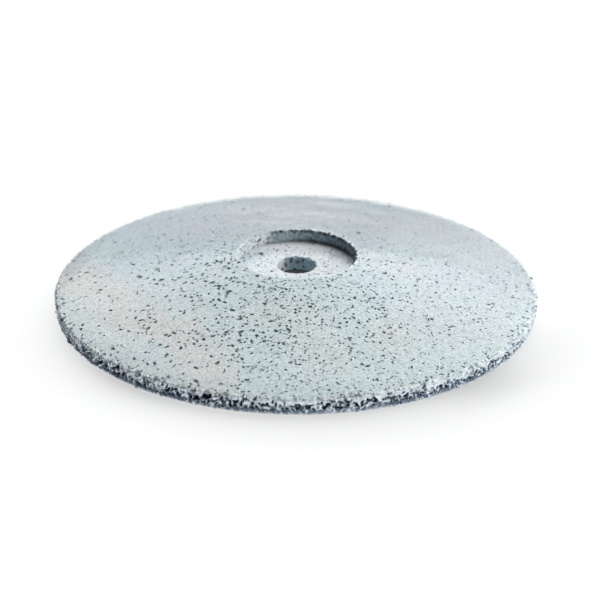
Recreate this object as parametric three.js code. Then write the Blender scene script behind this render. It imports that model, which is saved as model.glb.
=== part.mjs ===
// Carving disc for an angle grinder, lying on its rim with the working face up.
// A pressed steel plate carries a moulded cone of carbide grit, a fine coat over it, and a coarse grit rim.
// The nut sits in a recess in the working face, and the spindle passes through a swaged steel bush.
// Millimetres, +Z up along the spin axis, origin on that axis in the plane of the rim's underside.
import * as THREE from "three";

// Driving dimensions.
const DISC_RADIUS = 62.5; // 125 mm disc, over the grit of the rim
const RIM_HEIGHT = 4.5; // edge of the disc, plate and abrasive together
const LIP_HEIGHT = 13.6; // top of the cone, where the recess starts
const RECESS_RADIUS = 15.25; // clears the round nut of an M10 spindle
const RECESS_DEPTH = 3.4;
const BORE_RADIUS = 5; // passes an M10 spindle
const PLATE_THICKNESS = 1.2;
const COAT_THICKNESS = 0.5; // fine coat over the cone and down the recess wall
const FLOOR_COAT_THICKNESS = 0.4;
const BORE_COAT_THICKNESS = 0.3;
const WASHER_THICKNESS = 2.4;
const BOND_LINE = 0.02; // room for the bond between two layers

// Worked out from those.
const FLOOR_HEIGHT = LIP_HEIGHT - RECESS_DEPTH;
const HUB_TOP = FLOOR_HEIGHT - FLOOR_COAT_THICKNESS;
const HUB_UNDERSIDE = HUB_TOP - PLATE_THICKNESS;
const SEAT_HEIGHT = HUB_UNDERSIDE - WASHER_THICKNESS;
const PLATE_RADIUS = DISC_RADIUS - 0.9;
const LAND_RADIUS = PLATE_RADIUS - 2; // inner edge of the flat land that the disc rests on
const BEND_RADIUS = RECESS_RADIUS + 2.5; // where the plate turns from flat hub to cone
const COAT_RADIUS = DISC_RADIUS - 0.3;
const CORE_RADIUS = DISC_RADIUS - 2.6; // the core ends here, and the coarse rim starts
const WASHER_RADIUS = BEND_RADIUS - 0.8;
const BUSH_BORE_RADIUS = BORE_RADIUS + BORE_COAT_THICKNESS + BOND_LINE;
const BORE_COAT_FOOT = SEAT_HEIGHT + 0.5; // the coat stops short of the flange's seat
const BUSH_RADIUS = BORE_RADIUS + 3;
const COLLAR_RADIUS = BUSH_RADIUS + 2.5;
const COLLAR_THICKNESS = 1;
const SWAGE_DEPTH = 0.6; // countersink in the plate that the bush's top is rolled into
const EDGE_ROUND = 0.35; // top outer edge of the coat
const LIP_ROUND = 0.25; // lip of the recess

const SEGMENTS = 72;
const GRIT_RELIEF = 0.28; // how far the coarse rim's surface wanders in and out
const SHOULDER_HEIGHT = 0.7; // the coarse rim draws in over this height at its top and bottom

const CONE_SLOPE = (LIP_HEIGHT - RIM_HEIGHT) / (COAT_RADIUS - RECESS_RADIUS);
const CONE_TILT = THREE.MathUtils.radToDeg(Math.atan(CONE_SLOPE));
const PLATE_SLOPE = (HUB_TOP - PLATE_THICKNESS) / (LAND_RADIUS - BEND_RADIUS);

// Height of the working face, and of the plate's upper side, at a radius.
const faceHeight = (r) => LIP_HEIGHT - (r - RECESS_RADIUS) * CONE_SLOPE;
const plateTop = (r) => HUB_TOP - Math.max(0, Math.min(r, LAND_RADIUS) - BEND_RADIUS) * PLATE_SLOPE;

const paleCoat = new THREE.MeshStandardMaterial({ color: 0xc4d0d2, roughness: 0.75, metalness: 0 });
const floorCoat = new THREE.MeshStandardMaterial({ color: 0xd3dcdf, roughness: 0.7, metalness: 0 });
const coarseGrit = new THREE.MeshStandardMaterial({ color: 0x6f7f88, roughness: 0.85, metalness: 0.1 });
const boundGrit = new THREE.MeshStandardMaterial({ color: 0x8b979b, roughness: 0.9, metalness: 0 });
const plateSteel = new THREE.MeshStandardMaterial({ color: 0x9a9ea1, roughness: 0.45, metalness: 0.9 });
const turnedSteel = new THREE.MeshStandardMaterial({ color: 0x7d8287, roughness: 0.35, metalness: 1 });
const zincSteel = new THREE.MeshStandardMaterial({ color: 0xb4b7b5, roughness: 0.4, metalness: 0.9 });

// A piece turned about the spin axis from a closed outline of [radius, height] corners, anticlockwise.
function turned(name, outline, material) {
  const points = [...outline, outline[0]].map(([r, z]) => new THREE.Vector2(r, z));
  const geometry = new THREE.LatheGeometry(points, SEGMENTS);
  geometry.rotateX(Math.PI / 2);
  const mesh = new THREE.Mesh(geometry, material);
  mesh.name = name;
  return mesh;
}

// Corners of an arc that touches the working face from below, centred at radius r.
// Its angles are in degrees, anticlockwise from the outward direction.
function roundUnderFace(r, radius, from, to, steps) {
  const z = faceHeight(r) - radius / Math.sin(THREE.MathUtils.degToRad(90 - CONE_TILT));
  return Array.from({ length: steps + 1 }, (_, i) => {
    const angle = THREE.MathUtils.degToRad(from + ((to - from) * i) / steps);
    return [r + radius * Math.cos(angle), z + radius * Math.sin(angle)];
  });
}

// Pressed steel dish: flat hub with a countersunk hole, conical wall, flat land round the edge.
function backingPlate() {
  return turned("backing_plate", [
    [BUSH_RADIUS + BOND_LINE, HUB_UNDERSIDE],
    [BEND_RADIUS, HUB_UNDERSIDE],
    [LAND_RADIUS, 0],
    [PLATE_RADIUS, 0],
    [PLATE_RADIUS, PLATE_THICKNESS],
    [LAND_RADIUS, PLATE_THICKNESS],
    [BEND_RADIUS, HUB_TOP],
    [BUSH_RADIUS + SWAGE_DEPTH + BOND_LINE, HUB_TOP],
    [BUSH_RADIUS + BOND_LINE, HUB_TOP - SWAGE_DEPTH],
  ], plateSteel);
}

// Steel bush in the bore: a collar let into the washer below, its top rolled into the plate's countersink.
function arborBush() {
  return turned("arbor_bush", [
    [BUSH_BORE_RADIUS, SEAT_HEIGHT],
    [COLLAR_RADIUS, SEAT_HEIGHT],
    [COLLAR_RADIUS, SEAT_HEIGHT + COLLAR_THICKNESS],
    [BUSH_RADIUS, SEAT_HEIGHT + COLLAR_THICKNESS],
    [BUSH_RADIUS, HUB_TOP - SWAGE_DEPTH],
    [BUSH_RADIUS + SWAGE_DEPTH, HUB_TOP - BOND_LINE],
    [BUSH_BORE_RADIUS, HUB_TOP - BOND_LINE],
  ], turnedSteel);
}

// Thick washer under the hub, the seat for the grinder's flange, counterbored for the bush's collar.
function hubWasher() {
  const top = HUB_UNDERSIDE - BOND_LINE;
  const counterbore = SEAT_HEIGHT + COLLAR_THICKNESS + BOND_LINE;
  return turned("hub_washer", [
    [COLLAR_RADIUS + BOND_LINE, SEAT_HEIGHT],
    [WASHER_RADIUS, SEAT_HEIGHT],
    [WASHER_RADIUS, top],
    [BUSH_RADIUS + BOND_LINE, top],
    [BUSH_RADIUS + BOND_LINE, counterbore],
    [COLLAR_RADIUS + BOND_LINE, counterbore],
  ], zincSteel);
}

// Moulded cone of bonded grit that fills the space between the plate and the fine coat.
function gritCore() {
  const inner = RECESS_RADIUS + COAT_THICKNESS + BOND_LINE;
  const floor = (r) => plateTop(r) + BOND_LINE;
  const roof = (r) => faceHeight(r) - COAT_THICKNESS - BOND_LINE;
  return turned("grit_core", [
    [inner, floor(inner)],
    [BEND_RADIUS, floor(BEND_RADIUS)],
    [LAND_RADIUS, floor(LAND_RADIUS)],
    [CORE_RADIUS, floor(CORE_RADIUS)],
    [CORE_RADIUS, roof(CORE_RADIUS)],
    [inner, roof(inner)],
  ], boundGrit);
}

// Fine coat: a thin cone with a rounded edge that also lines the wall of the recess.
function faceCoat() {
  const wall = RECESS_RADIUS + COAT_THICKNESS;
  const foot = HUB_TOP + BOND_LINE;
  const square = 90 - CONE_TILT; // direction square to the cone
  return turned("face_coat", [
    [RECESS_RADIUS, foot],
    [wall, foot],
    [wall, faceHeight(wall) - COAT_THICKNESS],
    [COAT_RADIUS, faceHeight(COAT_RADIUS) - COAT_THICKNESS],
    ...roundUnderFace(COAT_RADIUS - EDGE_ROUND, EDGE_ROUND, 0, square, 3),
    ...roundUnderFace(RECESS_RADIUS + LIP_ROUND, LIP_ROUND, square, 180, 3),
  ], paleCoat);
}

// Thin coat over the floor of the recess, which also runs down into the bush and forms the bore.
function recessFloorCoat() {
  const edge = RECESS_RADIUS - BOND_LINE;
  const sleeve = BORE_RADIUS + BORE_COAT_THICKNESS;
  return turned("recess_floor_coat", [
    [BORE_RADIUS, BORE_COAT_FOOT],
    [sleeve, BORE_COAT_FOOT],
    [sleeve, HUB_TOP],
    [edge, HUB_TOP],
    [edge, FLOOR_HEIGHT],
    [BORE_RADIUS, FLOOR_HEIGHT],
  ], floorCoat);
}

// Ring of coarse grit round the edge, standing on the plate's land under the coat's overhang.
function coarseGritRim() {
  const inner = CORE_RADIUS + BOND_LINE;
  const bottom = PLATE_THICKNESS + BOND_LINE;
  const roof = (r) => faceHeight(r) - COAT_THICKNESS - BOND_LINE;
  const nominal = DISC_RADIUS - GRIT_RELIEF;
  const shoulder = nominal - GRIT_RELIEF;
  const ring = turned("coarse_grit_rim", [
    [inner, bottom],
    [shoulder, bottom],
    [nominal, bottom + SHOULDER_HEIGHT],
    [nominal, roof(nominal) - SHOULDER_HEIGHT],
    [shoulder, roof(nominal)],
    [inner, roof(inner)],
  ], coarseGrit);
  roughen(ring.geometry, DISC_RADIUS - 1.5);
  return ring;
}

// Moves every vertex beyond a radius in or out by two waves that meet themselves after one turn.
// Both crest on the X and Y axes, so the disc's full size shows there.
function roughen(geometry, beyond) {
  const at = geometry.attributes.position;
  for (let i = 0; i < at.count; i++) {
    const radius = Math.hypot(at.getX(i), at.getY(i));
    if (radius < beyond) continue;
    const turn = Math.atan2(at.getY(i), at.getX(i));
    const wave = Math.cos(28 * turn) + Math.cos(20 * turn);
    const grown = 1 + (wave * GRIT_RELIEF) / 2 / radius;
    at.setX(i, at.getX(i) * grown);
    at.setY(i, at.getY(i) * grown);
  }
}

const disc = new THREE.Group();
disc.add(
  backingPlate(),
  arborBush(),
  hubWasher(),
  gritCore(),
  faceCoat(),
  recessFloorCoat(),
  coarseGritRim(),
);

export default disc;
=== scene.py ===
"""Looks of a carving disc for an angle grinder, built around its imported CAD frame.

The disc lies on its rim with the working face up. Sizes and places come from the frame's nodes.
Mesh functions work in millimetres, and a mesh becomes metres when its piece is made.
"""
import math
import random
from collections import defaultdict, namedtuple

import bmesh
import bpy
import numpy as np
from mathutils import Euler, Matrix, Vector
from mathutils.geometry import delaunay_2d_cdt
from mathutils.kdtree import KDTree


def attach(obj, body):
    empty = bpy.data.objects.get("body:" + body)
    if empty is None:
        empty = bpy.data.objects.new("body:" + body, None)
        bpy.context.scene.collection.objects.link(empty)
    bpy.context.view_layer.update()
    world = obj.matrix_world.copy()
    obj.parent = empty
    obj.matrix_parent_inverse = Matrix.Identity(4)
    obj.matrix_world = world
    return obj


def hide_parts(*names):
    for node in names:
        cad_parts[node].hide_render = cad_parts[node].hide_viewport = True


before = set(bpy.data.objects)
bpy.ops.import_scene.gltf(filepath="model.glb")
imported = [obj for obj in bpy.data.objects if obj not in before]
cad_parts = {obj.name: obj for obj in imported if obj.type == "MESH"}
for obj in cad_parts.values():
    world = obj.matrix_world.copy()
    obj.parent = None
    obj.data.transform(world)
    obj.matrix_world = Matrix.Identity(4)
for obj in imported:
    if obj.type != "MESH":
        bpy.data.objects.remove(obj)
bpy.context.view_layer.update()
MM = 0.001

Turned = namedtuple("Turned", "inner outer foot top")


def measure(node):
    """Inner and outer radius, foot and top of a turned CAD node, in mm."""
    points = np.array([v.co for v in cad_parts[node].data.vertices]) / MM
    radius = np.hypot(points[:, 0], points[:, 1])
    return Turned(radius.min(), radius.max(), points[:, 2].min(), points[:, 2].max())


PLATE = measure("backing_plate")
COAT = measure("face_coat")
FLOOR_COAT = measure("recess_floor_coat")
RIM = measure("coarse_grit_rim")

# Thicknesses and rounds of the turned pieces, as on the CAD model.
COAT_THICKNESS = 0.5
FLOOR_COAT_THICKNESS = 0.4
LIP_ROUND = 0.25
EDGE_ROUND = 0.35
BOND_LINE = 0.02

RIM_TOP = COAT.foot + COAT_THICKNESS
CONE_SLOPE = (COAT.top - RIM_TOP) / (COAT.outer - COAT.inner - LIP_ROUND)
CONE_TILT = math.atan(CONE_SLOPE)
LIP_HEIGHT = RIM_TOP + (COAT.outer - COAT.inner) * CONE_SLOPE


def face_height(r):
    """Height of the cone's outer surface at a radius, in mm."""
    return LIP_HEIGHT - (r - COAT.inner) * CONE_SLOPE


def inner_roof(r):
    """Height of the coat's underside on the cone."""
    return face_height(r) - COAT_THICKNESS / math.cos(CONE_TILT)


# ------------------------ random fields

def waves(seed, wavelength, count=24):
    """A smooth random field over points in mm, with a spread of about 1, as a sum of plane waves."""
    rng = np.random.default_rng(seed)
    directions = rng.normal(size=(count, 3))
    directions /= np.linalg.norm(directions, axis=1)[:, None]
    numbers = directions * (math.tau / wavelength * rng.uniform(0.6, 1.6, count))[:, None]
    phases = rng.uniform(0, math.tau, count)

    def field(points):
        return np.sin(points @ numbers.T + phases).sum(1) * math.sqrt(2 / count)

    return field


def smoothstep(low, high, value):
    """Rises smoothly from 0 at `low` to 1 at `high`, and falls if `low` is the larger."""
    t = np.clip((value - low) / (high - low), 0, 1)
    return t * t * (3 - 2 * t)


def cells(across, up, size_across, size_up, around, seed):
    """Cell noise on a band that closes after `around` cells: distance to the nearest and the second
    nearest cell centre, in mm, and a random number for the nearest cell."""
    rng = np.random.default_rng(seed)
    rows = 64
    shift = rng.uniform(0.1, 0.9, (around, rows, 2))
    value = rng.uniform(0, 1, (around, rows))
    column = np.floor(across / size_across).astype(int)
    row = np.floor(up / size_up).astype(int)
    nearest = np.full(across.shape, np.inf)
    second = np.full(across.shape, np.inf)
    name = np.zeros(across.shape)
    for i in (-1, 0, 1):
        for j in (-1, 0, 1):
            c, r = (column + i) % around, (row + j) % rows
            x = (column + i + shift[c, r, 0]) * size_across
            y = (row + j + shift[c, r, 1]) * size_up
            distance = np.hypot(across - x, up - y)
            closer = distance < nearest
            second = np.where(closer, nearest, np.minimum(second, distance))
            name = np.where(closer, value[c, r], name)
            nearest = np.where(closer, distance, nearest)
    return nearest, second, name


# ------------------------ making pieces

def polar(radius, turn):
    return radius * math.cos(turn), radius * math.sin(turn)


def circle_points(radius, turn, height=0.0):
    """Points at these turns about the axis, as rows."""
    columns = (radius * np.cos(turn), radius * np.sin(turn), height + 0 * turn)
    return np.stack(columns, -1).reshape(-1, 3)


def make_piece(name, points, faces, material, stands_for=(), face_values=None, point_values=None,
               sharp_over=35.0):
    """A piece of the object from points in mm. Face and point values become attributes of their names."""
    mesh = bpy.data.meshes.new(name)
    mesh.from_pydata((np.asarray(points) * MM).tolist(), [], [list(map(int, f)) for f in faces])
    for domain, values in (("FACE", face_values), ("POINT", point_values)):
        for key, value in (values or {}).items():
            attribute = mesh.attributes.new(key, "FLOAT", domain)
            attribute.data.foreach_set("value", np.asarray(value, np.float32))
    outward(mesh)
    mesh.shade_smooth()
    mesh.set_sharp_from_angle(angle=math.radians(sharp_over))
    mesh.materials.append(material)
    piece = add_object(name, mesh)
    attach(piece, "root")
    if stands_for:
        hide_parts(*stands_for)
    return piece


def add_object(name, data):
    thing = bpy.data.objects.new(name, data)
    bpy.context.scene.collection.objects.link(thing)
    return thing


def outward(mesh):
    """Turns every face of a closed mesh outward."""
    working = bmesh.new()
    working.from_mesh(mesh)
    bmesh.ops.recalc_face_normals(working, faces=working.faces)
    working.to_mesh(mesh)
    working.free()


def ring(radius, height, count):
    """A circle of points at one height, or at a height for each."""
    return circle_points(radius, np.arange(count) * math.tau / count, height)


def strip(first, second):
    """Quads between two closed rows of point indices of the same length."""
    first, second = list(first), list(second)
    count = len(first)
    return [(first[i], first[(i + 1) % count], second[(i + 1) % count], second[i]) for i in range(count)]


def half_strip(first, second):
    """Triangles between a closed row of point indices and one with half as many."""
    first, second = list(first), list(second)
    many, few = len(first), len(second)
    faces = []
    for i in range(few):
        a, b, c = first[2 * i], first[2 * i + 1], first[(2 * i + 2) % many]
        low, high = second[i], second[(i + 1) % few]
        faces += [(a, b, low), (b, high, low), (b, c, high)]
    return faces


def ring_ids(plan, chosen):
    """Indices of the chosen plan points, in order round the axis from the +X direction."""
    ids = np.nonzero(chosen)[0]
    turn = np.arctan2(plan[ids, 1], plan[ids, 0]) % math.tau
    turn[turn > math.tau - 1e-5] = 0
    return ids[np.argsort(turn)]


def tube_faces(rows, count):
    """Quads over rows of `count` points each, from every row to the next and from the last to the first."""
    loops = [range(i * count, (i + 1) * count) for i in range(rows)]
    return [face for i in range(rows) for face in strip(loops[i], loops[(i + 1) % rows])]


def eased(outline, size, steps=3):
    """The closed outline with each corner rounded off by up to `size`."""
    result = []
    for i, corner in enumerate(outline):
        here = np.array(corner, float)
        before = np.array(outline[i - 1], float)
        after = np.array(outline[(i + 1) % len(outline)], float)
        reach = min(size, np.linalg.norm(before - here) / 3, np.linalg.norm(after - here) / 3)
        start = here + (before - here) / np.linalg.norm(before - here) * reach
        end = here + (after - here) / np.linalg.norm(after - here) * reach
        for t in np.linspace(0, 1, steps + 1):
            result.append(tuple((1 - t) ** 2 * start + 2 * t * (1 - t) * here + t * t * end))
    return result


# ------------------------ pits in a coat

Pit = namedtuple("Pit", "x y length width turn depth outline tint")
PIT_MARGIN = 0.14   # Other plan points keep this far from a pit, in mm.
PIT_FLOOR = 0.62    # A pit's floor, as a share of its mouth.
SMALL_PIT = 0.45    # Shorter pits get fewer corners.


def pit_outline(rng, length, width, corners):
    """Corners of a ragged, slightly bent oval about the origin, its long side along x."""
    bend = rng.uniform(-0.5, 0.5) * width
    points = []
    for i in range(corners):
        angle = math.tau * (i + rng.uniform(-0.22, 0.22)) / corners
        grow = rng.uniform(0.82, 1.18)
        x = length / 2 * grow * math.cos(angle)
        y = width / 2 * grow * math.sin(angle) + bend * (2 * x / length) ** 2
        points.append((x, y))
    return points


class PitField:
    """Pits scattered over a flat plan, none of them touching another."""

    GAP = 0.1
    CELL = 0.5

    def __init__(self, seed):
        self.rng = random.Random(seed)
        self.pits = []
        self.taken = defaultdict(list)

    def add(self, x, y, length, width, turn, depth):
        """Adds a pit, and says whether there was room for it."""
        corners = 6 if length < SMALL_PIT else 8
        cos, sin = math.cos(turn), math.sin(turn)
        local = pit_outline(self.rng, length, width, corners)
        outline = [(x + a * cos - b * sin, y + a * sin + b * cos) for a, b in local]
        if any(self.near(px, py) for px, py in outline):
            return False
        spine = [(x + t * length * cos, y + t * length * sin) for t in (-0.25, 0, 0.25)]
        for px, py in outline + spine:
            self.taken[int(px // self.CELL), int(py // self.CELL)].append((px, py))
        # Pits are paler towards the back right, where the light comes from: painted light.
        behind_right = smoothstep(5, 40, x + 0.6 * y)
        tint = min(1.0, self.rng.random() * 0.75 + 0.7 * behind_right)
        self.pits.append(Pit(x, y, length, width, turn, depth, outline, tint))
        return True

    def near(self, x, y):
        column, row = int(x // self.CELL), int(y // self.CELL)
        for i in (-1, 0, 1):
            for j in (-1, 0, 1):
                for px, py in self.taken.get((column + i, row + j), ()):
                    if (px - x) ** 2 + (py - y) ** 2 < self.GAP ** 2:
                        return True
        return False

    def chain(self, x, y, links, size):
        """A crooked row of pits that starts at (x, y)."""
        rng = self.rng
        turn = rng.uniform(0, math.tau)
        for _ in range(links):
            length = size * rng.uniform(0.7, 1.25)
            width = min(length * 0.75, rng.uniform(0.3, 0.5))
            if not self.add(x, y, length, width, turn, width * rng.uniform(0.5, 0.8)):
                return
            bent = turn + rng.choice((-1, 1)) * rng.uniform(0.2, 1.2)
            reach = length / 2 + self.GAP + size / 2
            x += (math.cos(turn) + math.cos(bent)) / 2 * reach
            y += (math.sin(turn) + math.sin(bent)) / 2 * reach
            turn = bent


def pitted_sheet(rings, pits):
    """Triangles over a flat ring-shaped plan, with pits set in it.

    `rings` are arrays of plan points, the first and the last being its boundaries. Each pit adds two
    loops, its mouth and its floor. Returns the plan points, each point's pit depth, the triangles, and
    each triangle's pit or -1."""
    loose = np.concatenate(rings[1:-1])
    tree = KDTree(len(loose))
    for i, point in enumerate(loose):
        tree.insert((point[0], point[1], 0), i)
    tree.balance()
    covered = set()
    for pit in pits:
        cos, sin = math.cos(pit.turn), math.sin(pit.turn)
        half_length, half_width = pit.length / 2 + PIT_MARGIN, pit.width / 2 + PIT_MARGIN
        for co, i, _ in tree.find_range((pit.x, pit.y, 0), half_length + PIT_MARGIN):
            dx, dy = co[0] - pit.x, co[1] - pit.y
            along, aside = dx * cos + dy * sin, dy * cos - dx * sin
            if (along / half_length) ** 2 + (aside / half_width) ** 2 < 1:
                covered.add(i)
    free = [p for i, p in enumerate(loose) if i not in covered]
    points = [Vector(p) for p in rings[0]] + [Vector(p) for p in free] + [Vector(p) for p in rings[-1]]
    depth = [0.0] * len(points)
    loops = []
    for pit in pits:
        count = len(pit.outline)
        floor_outline = [(pit.x + (x - pit.x) * PIT_FLOOR, pit.y + (y - pit.y) * PIT_FLOOR)
                         for x, y in pit.outline]
        for outline, level in ((pit.outline, 0.0), (floor_outline, pit.depth)):
            loops.append(list(range(len(points), len(points) + count)))
            points += [Vector(p) for p in outline]
            depth += [level] * count
    plan, _, triangles, origin, _, origin_faces = delaunay_2d_cdt(points, [], loops, 0, 1e-7, True)
    on_inner = [bool(o) and o[0] < len(rings[0]) for o in origin]
    kept, owner = [], []
    for triangle, inside in zip(triangles, origin_faces):
        if all(on_inner[v] for v in triangle):
            continue
        kept.append(triangle)
        owner.append(min(inside) // 2 if inside else -1)
    return np.array(plan), np.array([depth[o[0]] if o else 0.0 for o in origin]), kept, np.array(owner)


# ------------------------ material nodes

def srgb(red, green, blue):
    """A display colour, 0 to 255, as linear RGBA."""
    def linear(c):
        c /= 255
        return c / 12.92 if c <= 0.04045 else ((c + 0.055) / 1.055) ** 2.4

    return (linear(red), linear(green), linear(blue), 1.0)


class Nodes:
    """A node tree with one method for each kind of node. A value is a number, a colour, a vector or a
    socket to link. `place` is the object's own coordinates."""

    def __init__(self, tree):
        self.tree = tree
        self.place = self.add("TexCoord").outputs["Object"]

    def add(self, kind, settings=None, **inputs):
        node = self.tree.nodes.new("ShaderNode" + kind)
        for name, value in (settings or {}).items():
            setattr(node, name, value)
        self.set(node, **inputs)
        return node

    def set(self, node, **inputs):
        for name, value in inputs.items():
            self.plug(node.inputs[name.replace("_", " ")], value)

    def plug(self, socket, value):
        if isinstance(value, bpy.types.NodeSocket):
            self.tree.links.new(value, socket)
        else:
            socket.default_value = value

    def mix(self, factor, a, b):
        """Colour a turning into colour b as the factor goes from 0 to 1."""
        node = self.add("Mix", {"data_type": "RGBA"})
        for index, value in ((0, factor), (6, a), (7, b)):
            self.plug(node.inputs[index], value)
        return node.outputs[2]

    def layer(self, under, value, low, high, strength, colour):
        """The tone under it, with a display colour laid over it as the value goes from `low` to `high`."""
        return self.mix(self.spread(value, low, high, 0.0, strength), under, srgb(*colour))

    def spread(self, value, low, high, to_low=0.0, to_high=1.0):
        """Maps low..high smoothly on to to_low..to_high."""
        node = self.add("MapRange", {"interpolation_type": "SMOOTHSTEP"}, Value=value, From_Min=low,
                        From_Max=high, To_Min=to_low, To_Max=to_high)
        return node.outputs["Result"]

    def maths(self, operation, a, b=0.0):
        node = self.add("Math", {"operation": operation})
        self.plug(node.inputs[0], a)
        self.plug(node.inputs[1], b)
        return node.outputs[0]

    def times(self, a, b):
        return self.maths("MULTIPLY", a, b)

    def vector(self, operation, *values):
        """The operation's vector, or its number if it gives one."""
        node = self.add("VectorMath", {"operation": operation})
        for socket, value in zip(node.inputs, values):
            self.plug(socket, value)
        return node.outputs["Value" if operation in ("DOT_PRODUCT", "LENGTH") else "Vector"]

    def noise(self, grain_mm, detail=2.0, roughness=0.5, place=None):
        """Noise whose lumps are about grain_mm across, 0 to 1."""
        return self.add("TexNoise", None, Vector=place or self.place, Scale=1 / (grain_mm * MM),
                        Detail=detail, Roughness=roughness).outputs["Fac"]

    def attribute(self, name):
        return self.add("Attribute", {"attribute_name": name}).outputs["Fac"]

    def bump(self, height, depth_mm, strength=1.0):
        return self.add("Bump", None, Height=height, Distance=depth_mm * MM, Strength=strength).outputs[0]


class Surface(Nodes):
    """A material with one surface shader."""

    def __init__(self, name):
        self.material = bpy.data.materials.new(name)
        self.material.use_nodes = True
        self.material.node_tree.nodes.clear()
        super().__init__(self.material.node_tree)
        self.shader = self.add("BsdfPrincipled")
        self.output = self.add("OutputMaterial", None, Surface=self.shader.outputs[0])

    def finish(self, **inputs):
        self.set(self.shader, **inputs)
        return self.material


# ------------------------ materials

# Cloudy patches of tone in the coat, partly its own tone and partly painted light and shade: darker and bluer
# towards the back and the back left, paler at the back right. Place and half sizes in mm, with the front of
# the disc at -y.
Patch = namedtuple("Patch", "x y half_x half_y colour strength")
BLUE, LAVENDER, BEIGE = (191, 211, 221), (203, 207, 216), (209, 211, 208)
PALE, SLATE = (211, 217, 223), (191, 202, 210)
PATCHES = (
    Patch(-33, 30, 28, 24, BLUE, 0.8),
    Patch(0, 36, 44, 26, LAVENDER, 0.7),
    Patch(40, 28, 20, 22, PALE, 0.7),
    Patch(-34, 0, 22, 11, BLUE, 0.7),
    Patch(-12, -19, 20, 7, BLUE, 0.45),
    Patch(20, -16, 7, 12, BLUE, 0.5),
    Patch(42, -2, 26, 14, SLATE, 0.85),
    Patch(38, -27, 16, 11, LAVENDER, 0.6),
    Patch(6, -43, 9, 14, BEIGE, 0.5),
    Patch(27, -4, 7, 7, BEIGE, 0.4),
    Patch(-5, -30, 10, 7, BEIGE, 0.4),
    Patch(24, -36, 8, 8, BEIGE, 0.5),
)
WARM_TURN = math.radians(-50)


def coat_material(name, warm, green, raw_and_shade, pit_dark, pit_light, speckle, raw_spots):
    """Fine pale coat: clouded tone with patches of painted light and shade, sandy grain, faint specks, and
    dark hollows where the mesh has pits, painted darker the deeper they are.

    `green` is its common tone, `warm` a band of painted sheen on the left, and the third colour is exposed
    grit at broken edges and painted shade on the recess wall and in the bore."""
    n = Surface(name)
    clouds = n.noise(14, 3.0)
    tone = srgb(*green)
    for patch in PATCHES:
        tone = n.mix(patch_share(n, clouds, patch), tone, srgb(*patch.colour))
    # A warm band near the edge on the left front: painted sheen.
    reach = side(n, WARM_TURN, clouds)
    rightward = side(n, math.pi / 2, clouds)
    warmth = n.times(n.spread(reach, 46.0, 56.0), n.spread(reach, 60.0, 70.0, 1.0, 0.15))
    warmth = n.times(warmth, n.spread(rightward, -12.0, 4.0, 0.85, 0.0))
    tone = n.mix(warmth, tone, srgb(*warm))
    blotch = n.noise(2.6, 2.0)
    mottle = n.noise(1.0, 2.0, 0.6)
    grain = n.noise(0.5, 2.0, 0.6)
    tone = n.layer(tone, blotch, 0.50, 0.68, 0.42, (204, 208, 220))
    tone = n.layer(tone, mottle, 0.46, 0.70, 0.42, (140, 156, 162))
    tone = n.layer(tone, grain, 0.52, 0.70, 0.48, (120, 136, 142))
    tone = n.layer(tone, grain, 0.47, 0.30, 0.75, (232, 240, 240))
    specks = n.add("TexVoronoi", {"feature": "F1"}, Vector=n.place, Scale=1 / (0.95 * MM), Randomness=1.0)
    small = n.spread(specks.outputs["Distance"], 0.12, 0.26, 1.0, 0.0)
    lot = n.add("SeparateColor", None, Color=specks.outputs["Color"]).outputs[0]
    some = n.spread(lot, 0.55, 0.60, 0.0, speckle)
    tone = n.mix(n.times(small, some), tone, srgb(118, 134, 140))
    # Paler at the outer edge, partly wear and partly painted light. Painted light on the lit sides of the
    # recess wall and the bore and at the back of the recess floor, and a painted highlight along the lip.
    tone = n.layer(tone, n.attribute("pale_wear_and_light"), 0.2, 0.9, 0.9, (250, 254, 254))
    # Exposed grit at broken edges, and painted shade on the recess wall and in the bore.
    stretched = n.vector("MULTIPLY", n.place, (1, 1, 0.55))
    streak = n.noise(0.55, 3.0, 0.65, stretched)
    rough_tone = n.layer(srgb(*raw_and_shade), streak, 0.40, 0.60, raw_spots, (70, 92, 108))
    tone = n.mix(n.times(n.attribute("raw_and_shade"), 0.9), tone, rough_tone)
    # Dark on the recess wall: painted shade under the lip, over its foot and on its side turned from the
    # light, with dark spots.
    tone = n.mix(n.attribute("shade"), tone, srgb(46, 60, 70))
    hollow = n.mix(n.attribute("tint"), srgb(*pit_dark), srgb(*pit_light))
    hollow = n.layer(hollow, grain, 0.45, 0.75, 0.5, (96, 112, 120))
    # Pits are painted darker the deeper they are: painted shade.
    sunk = n.times(n.attribute("pit"), n.spread(n.attribute("deep"), -0.5, 0.9))
    sandy = n.maths("ADD", grain, n.times(mottle, 1.5))
    return n.finish(Base_Color=n.mix(sunk, tone, hollow),
                    Roughness=n.spread(mottle, 0.3, 0.7, 0.17, 0.26),
                    Specular_IOR_Level=0.4, Normal=n.bump(sandy, 0.02, 0.5))


def side(n, azimuth, cloud):
    """Distance from the axis towards one side of the disc, in mm, made uneven by a cloud.

    An azimuth of 0 is the front, and positive ones turn to the right."""
    way = (math.sin(azimuth) / MM, -math.cos(azimuth) / MM, 0)
    return n.maths("ADD", n.vector("DOT_PRODUCT", n.place, way), n.times(cloud, 26.0))


def patch_share(n, cloud, patch):
    """How much of a patch's tone shows at a place, with a cloudy border."""
    size = (1 / (patch.half_x * MM), 1 / (patch.half_y * MM), 0)
    shift = (-patch.x / patch.half_x, -patch.y / patch.half_y, 0)
    away = n.vector("LENGTH", n.vector("MULTIPLY_ADD", n.place, size, shift))
    uneven = n.maths("ADD", away, n.times(cloud, 1.6))
    return n.spread(uneven, 1.15, 2.25, patch.strength, 0.0)


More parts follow.
